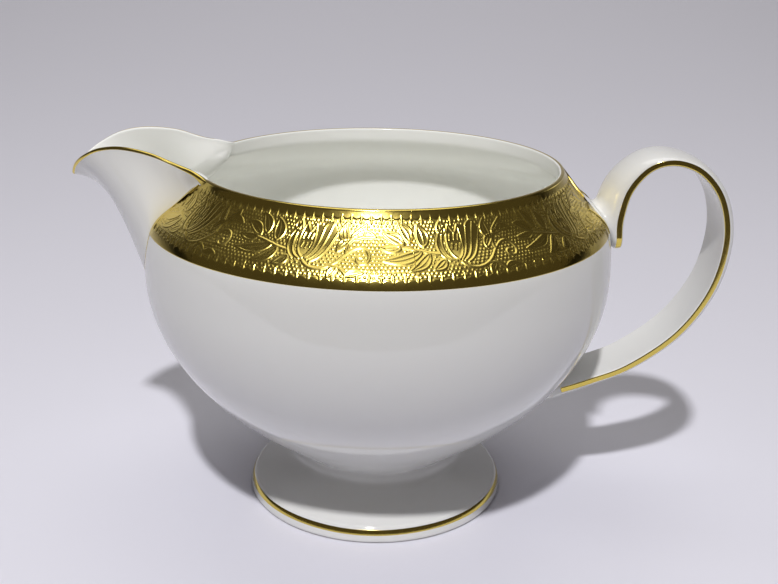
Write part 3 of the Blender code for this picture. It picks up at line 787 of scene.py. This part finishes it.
def tile_picture():
    """One repeat of the relief, as heights in mm on a grid, and how burnished each spot is.

    Every line is a raised round bead, 1 - (distance / half width)^2. The ground is stippled with
    such beads on a jittered triangular grid, and kept clear inside the petals and leaves. The plain
    borders stand up to a scalloped edge, a root of a sine wave, with a tapering tooth in each notch."""
    across = np.arange(0, TILE, TILE_STEP) - TILE / 2
    down = np.arange(0, BAND_WIDTH + TILE_STEP, TILE_STEP)
    x, y = np.meshgrid(across, down)

    def distance(points):
        """Distance of every grid spot from a broken line, round the repeat, and the share along it."""
        best, share = np.full(x.shape, 9.0), np.zeros(x.shape)
        count = len(points) - 1
        for step in range(count):
            (ax, ay), (bx, by) = points[step], points[step + 1]
            px = (x - ax + TILE / 2) % TILE - TILE / 2
            py = y - ay
            dx, dy = bx - ax, by - ay
            t = np.clip((px * dx + py * dy) / (dx * dx + dy * dy), 0, 1)
            d = np.hypot(px - t * dx, py - t * dy)
            closer = d < best
            best[closer], share[closer] = d[closer], (step + t[closer]) / count
        return best, share

    def bead(d, half):
        """Height of a round bead at distances from its middle line, 1 there and 0 at half its width."""
        return np.clip(1 - (d / half) ** 2, 0, 1)

    def inside(points):
        """Spots inside a closed broken line, by counting crossings."""
        px = (x - points[:, 0].mean() + TILE / 2) % TILE - TILE / 2 + points[:, 0].mean()
        crossed = np.zeros(x.shape, bool)
        for (ax, ay), (bx, by) in zip(points, np.roll(points, -1, 0)):
            if ay != by:
                crossed ^= ((y < ay) != (y < by)) & (px < ax + (y - ay) * (bx - ax) / (by - ay))
        return crossed

    raised = np.zeros(x.shape)
    clear = np.full(x.shape, 9.0)
    field = np.zeros(x.shape, bool)
    curve = np.linspace(0, 1, 15)
    lines = [bezier(ends, curve) for ends in OUTLINES + SCROLLS]
    for number, line in enumerate(lines):
        d, share = distance(line)
        half = LINE_HALF * (1 - 0.35 * share if number < len(OUTLINES) else 1.15)
        raised = np.maximum(raised, bead(d, half))
        clear = np.minimum(clear, d)
    cup = lines[0], lines[2], lines[3][::-1], lines[1][::-1]
    left = lines[4], lines[5], lines[6]
    first = lines[1], lines[7][::-1]
    second = lines[7], lines[10], lines[8][::-1]
    third = lines[8], lines[9][::-1]
    for petal in (cup, left, first, second, third):
        field |= inside(np.vstack(petal))
    for middle_x, middle_y, length in STAMENS:
        ends = (middle_x - 0.12, middle_y + length / 2), (middle_x + 0.12, middle_y - length / 2)
        d, _ = distance(np.array(ends))
        raised = np.maximum(raised, bead(d, STAMEN_HALF))
    for start, end, width, bend in LEAVES:
        start, end = np.array(start), np.array(end)
        run = end - start
        left_side = np.array((run[1], -run[0])) / np.linalg.norm(run)
        rib = start + run * curve[:, None] + left_side * (bend * 4 * curve * (1 - curve))[:, None]
        belly = (width / 2 * np.sin(np.pi * curve ** 0.8) ** 0.85)[:, None]
        edge, other_edge = rib + left_side * belly, rib - left_side * belly
        for line, half, tall in ((edge, EDGE_HALF, 1.0), (other_edge, EDGE_HALF, 1.0), (rib, RIB_HALF, 0.75)):
            d, _ = distance(line)
            raised = np.maximum(raised, bead(d, half) * tall)
            clear = np.minimum(clear, d)
        field |= inside(np.vstack([edge, other_edge[::-1]]))
    pitch = TILE / SCALLOPS
    scallop = SCALLOP_DEPTH * np.abs(np.sin(np.pi * (x + TILE / 2) / pitch)) ** 0.6
    top_edge = TOP_BORDER + scallop
    low_edge = BAND_WIDTH - BOTTOM_BORDER - scallop
    border = ease(np.maximum(top_edge - y, y - low_edge), -0.12, 0.12)
    off_tooth = np.abs((x + TILE / 2 + pitch / 2) % pitch - pitch / 2)
    for from_edge in (y - TOP_BORDER, BAND_WIDTH - BOTTOM_BORDER - y):
        taper = 0.32 * np.clip(1.2 - from_edge / TOOTH, 0, 1)
        tooth = bead(off_tooth, np.maximum(taper, 1e-3)) * (from_edge > -0.1) * (from_edge < TOOTH)
        raised = np.maximum(raised, tooth * 1.1)
        clear = np.where(tooth > 0, 0, clear)
    dots = round(TILE / DOT_PITCH)
    column_pitch = TILE / dots
    row_number = np.round(y / DOT_ROW)
    shifted = x + TILE / 2 + (row_number % 2) * column_pitch / 2
    column_number = np.round(shifted / column_pitch)
    seed = np.sin(column_number % dots * 12.9898 + row_number * 78.233) * 43758.5453
    jitter = (seed - np.floor(seed) - 0.5) * 0.2
    dot = np.hypot(shifted - column_number * column_pitch - jitter, y - row_number * DOT_ROW + jitter)
    ground = (~field) & (clear > 0.4) & (border < 0.01)
    stipple = bead(dot, DOT_RADIUS) * 0.7 * ground
    height = np.maximum(RELIEF * np.maximum(raised, stipple), FIELD_HEIGHT * field)
    height = np.maximum(height, border * BORDER_HEIGHT)
    smooth = np.clip(border + 0.6 * field, 0, 1)
    return height, smooth


def band_loops(side, part):
    """Loops across one part of the band, on the near side (1) or the far one (-1).

    Stations lie square to the rim, but lean over near the ends to follow the spout's seam and the
    handle's root. The outer points take their height from the tile, and the first ROLL_ROWS roll over
    the rim by RIM_ROLL degrees. Two points behind them close the loop inside the porcelain wall. Both
    ends stay plain, and the one by the handle swells into a round edge."""
    over_rim = np.linspace(-0.5, 0, ROLL_ROWS, endpoint=False)
    down = np.concatenate([over_rim, np.linspace(0, BAND_WIDTH, BAND_ROWS - ROLL_ROWS)])[None]
    seam = spout_rows(np.linspace(3.2, 7.0, 120))
    seam_run = at_height(OUTSIDE, OUTSIDE_RUN, seam[:, 10])
    order = np.argsort(seam_run)
    radius, height = on_profile(OUTSIDE, OUTSIDE_RUN, np.maximum(down, 0))
    start = np.interp(np.maximum(down, 0), seam_run[order], seam[order, 9]) - np.degrees(0.3 / radius)
    start = start - 0.7 * (1 - ease(down, 0.7, 1.5))
    root_run = at_height(OUTSIDE, OUTSIDE_RUN, ROOT_TOP)
    stop = 180 - np.degrees(np.arcsin(ROOT_HALF / radius)) * ease(down, root_run - 0.6, root_run + 1.2)
    share = (part + np.linspace(0, 1, PART_STATIONS)[:, None]) / BAND_PARTS
    turn = (BAND_FROM + (BAND_TO - BAND_FROM) * share + (start - BAND_FROM) * (1 - share) ** 5
            + (stop - BAND_TO) * share ** 9)
    across = MIDDLE_RADIUS * np.radians(side * turn - FLOWER_TURN)
    column = (across + TILE / 2) / TILE_STEP % (TILE / TILE_STEP)
    row = np.broadcast_to(np.maximum(down, 0) / TILE_STEP, column.shape)
    c0, r0 = np.floor(column).astype(int), np.floor(row).astype(int)
    fc, fr = column - c0, row - r0
    tall, wide = picture.shape
    c0, c1 = c0 % wide, (c0 + 1) % wide
    r0, r1 = np.minimum(r0, tall - 1), np.minimum(r0 + 1, tall - 1)

    def look_up(values):
        """Values of the tile at the points, blended between the four grid spots round each."""
        return ((values[r0, c0] * (1 - fc) + values[r0, c1] * fc) * (1 - fr)
                + (values[r1, c0] * (1 - fc) + values[r1, c1] * fc) * fr)

    from_start = (turn - start) * np.radians(radius)
    from_stop = (stop - turn) * np.radians(radius) + 40 * (1 - ease(down, root_run - 0.6, root_run + 0.4))
    plain = 1 - ease(np.minimum(from_start, from_stop), PLAIN_END - 0.15, PLAIN_END + 0.15)
    relief = look_up(picture) * (1 - plain) + BORDER_HEIGHT * plain
    relief = relief + ROOT_BEAD * np.sqrt(np.clip(1 - (2 * from_stop / PLAIN_END - 1) ** 2, 0, 1))
    burnish = look_up(smooth) * (1 - plain) + plain
    proud = LEVEL - BORDER_HEIGHT + relief
    proud = np.where((BAND_WIDTH - down < 0.02) | (from_start < 0.02), -EDGE_SINK, proud)
    slope_r, slope_z = (np.interp(np.maximum(down, 0), OUTSIDE_RUN, OUTWARD[:, i]) for i in (0, 1))
    r, z = radius + proud * slope_r, height + proud * slope_z
    roll = np.clip(down / over_rim[0], 0, 1) * np.radians(RIM_ROLL)
    on_rim = down < 0
    r = np.where(on_rim, SHOULDER[0][0] - RIM_HALF + (RIM_HALF + LEVEL) * np.cos(roll), r)
    z = np.where(on_rim, SHOULDER[0][1] + (RIM_RISE + LEVEL) * np.sin(roll), z)
    outer = around(r, side * turn, z)
    back = around(np.array([BACK_RADIUS]), side * turn[:, [-1, 0]], np.array([BACK_HEIGHT]))
    return np.concatenate([outer, back], 1), np.concatenate([burnish, np.ones((len(turn), 2))], 1)


def gilding(name, dull, bright, grain):
    """Fired gold. Its roughness goes from dull on the etched ground to bright where it is burnished.

    The colour drifts between a deeper and a paler gold, a cloudy wear varies the roughness by a tenth
    both ways, and a fine grain breaks up the reflections."""
    material, shader, add, fill = node_material(name)
    place = add("TexCoord")
    burnish = add("Attribute", {"attribute_name": "burnish"})
    drift = add("TexNoise", Vector=(place, "Object"), Scale=60.0, Detail=3.0)
    colour = add("Mix", {"data_type": "RGBA"}, Factor=(drift, "Fac"),
                 i6=(*DEEP_GOLD, 1), i7=(*PALE_GOLD, 1))
    wear = add("TexNoise", Vector=(place, "Object"), Scale=700.0, Detail=4.0)
    matt, shine = (add("MapRange", Value=(wear, "Fac"), From_Min=0.3, From_Max=0.7,
                       To_Min=roughness * 0.9, To_Max=roughness * 1.1) for roughness in (dull, bright))
    rough = add("Mix", Factor=(burnish, "Fac"), i2=(matt, "Result"), i3=(shine, "Result"))
    tooth = add("TexNoise", Vector=(place, "Object"), Scale=2600.0, Detail=2.0)
    bump = add("Bump", Height=(tooth, "Fac"), Strength=grain, Distance=0.00004)
    fill(shader, dict(Base_Color=(colour, 2), Metallic=1.0, Roughness=(rough, 0), Normal=(bump, "Normal")))
    return material


etched_gold = gilding("etched_gold", 0.27, 0.17, 0.12)
picture, smooth = tile_picture()
for name, side in (("etched_band_near", 1), ("etched_band_far", -1)):
    for part in range(BAND_PARTS):
        loops, burnish = band_loops(side, part)
        band = skin(f"{name}_{part + 1}", loops, burnish=burnish)
        band.data.set_sharp_from_angle(angle=math.radians(80))
        band.data.materials.append(etched_gold)
        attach(band, "root")
        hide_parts("etched_gold_band")

# ---------------------------------------------------------------- gold lines
# Burnished lines laid on the glaze with a fine brush: round the foot, along the spout's lip and its
# seam, and along both edges of the handle. A line is a low rounded ridge of fired gold.
LINE_LIFT = 0.035
LINE_SINK = 0.012
LIP_LINE_END = 7.2
SEAM_FROM, SEAM_TO = 1.1, 4.1
SEAM_GAP = 0.1
SEAM_WIDTH = 0.55
HANDLE_LINE_FROM, HANDLE_LINE_TO = 0.25, 12.9
HANDLE_LINE_POINTS = (12, 18)
FOOT_LINE_POINTS = 12
FOOT_LINE_LOW, FOOT_LINE_HIGH = 1.75, 2.95
line_gold = gilding("line_gold", 0.22, 0.16, 0.08)


def arch(count):
    """Heights of a line above the glaze at points across it: the root of half a sine wave, a bit sunk."""
    return LINE_LIFT * np.sin(np.pi * np.arange(count) / (count - 1)) ** 0.5 - LINE_SINK


def gold_line(name, surface, facing, *nodes):
    """Strip on points of a surface, stations x points across, raised by the arch and closed below."""
    top = surface + facing * arch(surface.shape[1])[None, :, None]
    low = (surface - facing * 0.15)[:, ::-1]
    finish_line(name, np.concatenate([top, low], 1), *nodes)


def finish_line(name, loops, *nodes, closed=False):
    """Make the line's piece, all burnished, in place of its CAD nodes."""
    line = skin(name, loops, closed=closed, burnish=np.ones(loops.shape[:2]))
    line.data.materials.append(line_gold)
    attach(line, "root")
    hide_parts(*nodes)


def waver(place, rate, depth):
    """A brush line's slow change of width: 1 and two sine waves of different lengths."""
    return 1 + depth * np.sin(rate * place) + depth * 0.6 * np.sin(2.7 * rate * place + 1.3)


# The lip's line covers its round and goes a little down the outside. It is narrow at the tip and wide
# where the lip meets the rim.
lip_place = np.linspace(-LIP_LINE_END, LIP_LINE_END, 280)[:, None]
from_tip = np.abs(lip_place)
under_lip = 0.16 - 0.1 * np.exp(-(lip_place / 1.2) ** 2) + 0.6 * ease(from_tip, 6.3, 6.8)
under_lip *= waver(lip_place, 1.7, 0.06)
wider = 0.4 * ease(from_tip, 5.4, 6.3) * (1 - ease(from_tip, 6.5, 7.0))
over_lip = (0.98 - 0.3 * np.exp(-lip_place ** 2) + wider) * LIP_WALL
below = -over_lip + np.linspace(0, 1, 16)[None] * (over_lip + under_lip)
gold_line("lip_gold", *lip_point(lip_place, below), "spout_lip_line")

seam_place = np.linspace(SEAM_FROM, SEAM_TO, 90)
for name, side in (("spout_seam_line_near", 1), ("spout_seam_line_far", -1)):
    rows = spout_rows(seam_place)
    run = at_height(OUTSIDE, OUTSIDE_RUN, rows[:, 10])
    radius, _ = on_profile(OUTSIDE, OUTSIDE_RUN, run)
    seam = np.stack([radius * np.radians(rows[:, 9]), run], -1)
    width = SEAM_WIDTH * ease(seam_place, SEAM_FROM, SEAM_FROM + 1.2) * waver(seam_place, 4.0, 0.06)
    off_seam = SEAM_GAP + np.linspace(0, 1, 8)[None] * width[:, None]
    spots = seam[:, None] + side_of(seam)[:, None] * off_seam[..., None]
    r, z = on_profile(OUTSIDE, OUTSIDE_RUN, spots[..., 1])
    turn = side * np.degrees(spots[..., 0] / r)
    slope_r, slope_z = (np.interp(spots[..., 1], OUTSIDE_RUN, OUTWARD[:, i]) for i in (0, 1))
    angle = np.radians(turn)
    facing = np.stack([-np.cos(angle) * slope_r, -np.sin(angle) * slope_r, slope_z], -1)
    gold_line(name.replace("line", "gold"), around(r, turn, z), facing, name)

# The handle's lines lie on the points of the strap's outline that go round its edge on each side.
strap, strap_facing = strap_loops(np.linspace(HANDLE_LINE_FROM, HANDLE_LINE_TO, 420))
far_points = np.arange(*HANDLE_LINE_POINTS)
near_points = (strap.shape[1] - far_points)[::-1]
for name, section in (("handle_line_near", near_points), ("handle_line_far", far_points)):
    gold_line(name.replace("line", "gold"), strap[:, section], strap_facing[:, section], name)

# The foot's line sways a little up and down as it goes round, on the foot's own edge curve.
edge = bezier(FOOT_EDGE, np.linspace(0, 1, 200))
out = side_of(edge)
foot_turn = np.linspace(0, 360, FOOT_COLUMNS, endpoint=False)[:, None]
sway = 0.05 * np.sin(np.radians(foot_turn * 3)) + 0.03 * np.sin(np.radians(foot_turn * 7 + 40))
line_level = np.linspace(FOOT_LINE_HIGH, FOOT_LINE_LOW, FOOT_LINE_POINTS)[None] + sway
edge_radius, out_r, out_z = (
    np.interp(-line_level, -edge[:, 1], values) for values in (edge[:, 0], out[:, 0], out[:, 1]))
lift = arch(FOOT_LINE_POINTS)
top = around(edge_radius + out_r * lift, foot_turn, line_level + out_z * lift)
low = around(edge_radius - 0.3, foot_turn, line_level)[:, ::-1]
finish_line("foot_gold", np.concatenate([top, low], 1), "foot_line", closed=True)
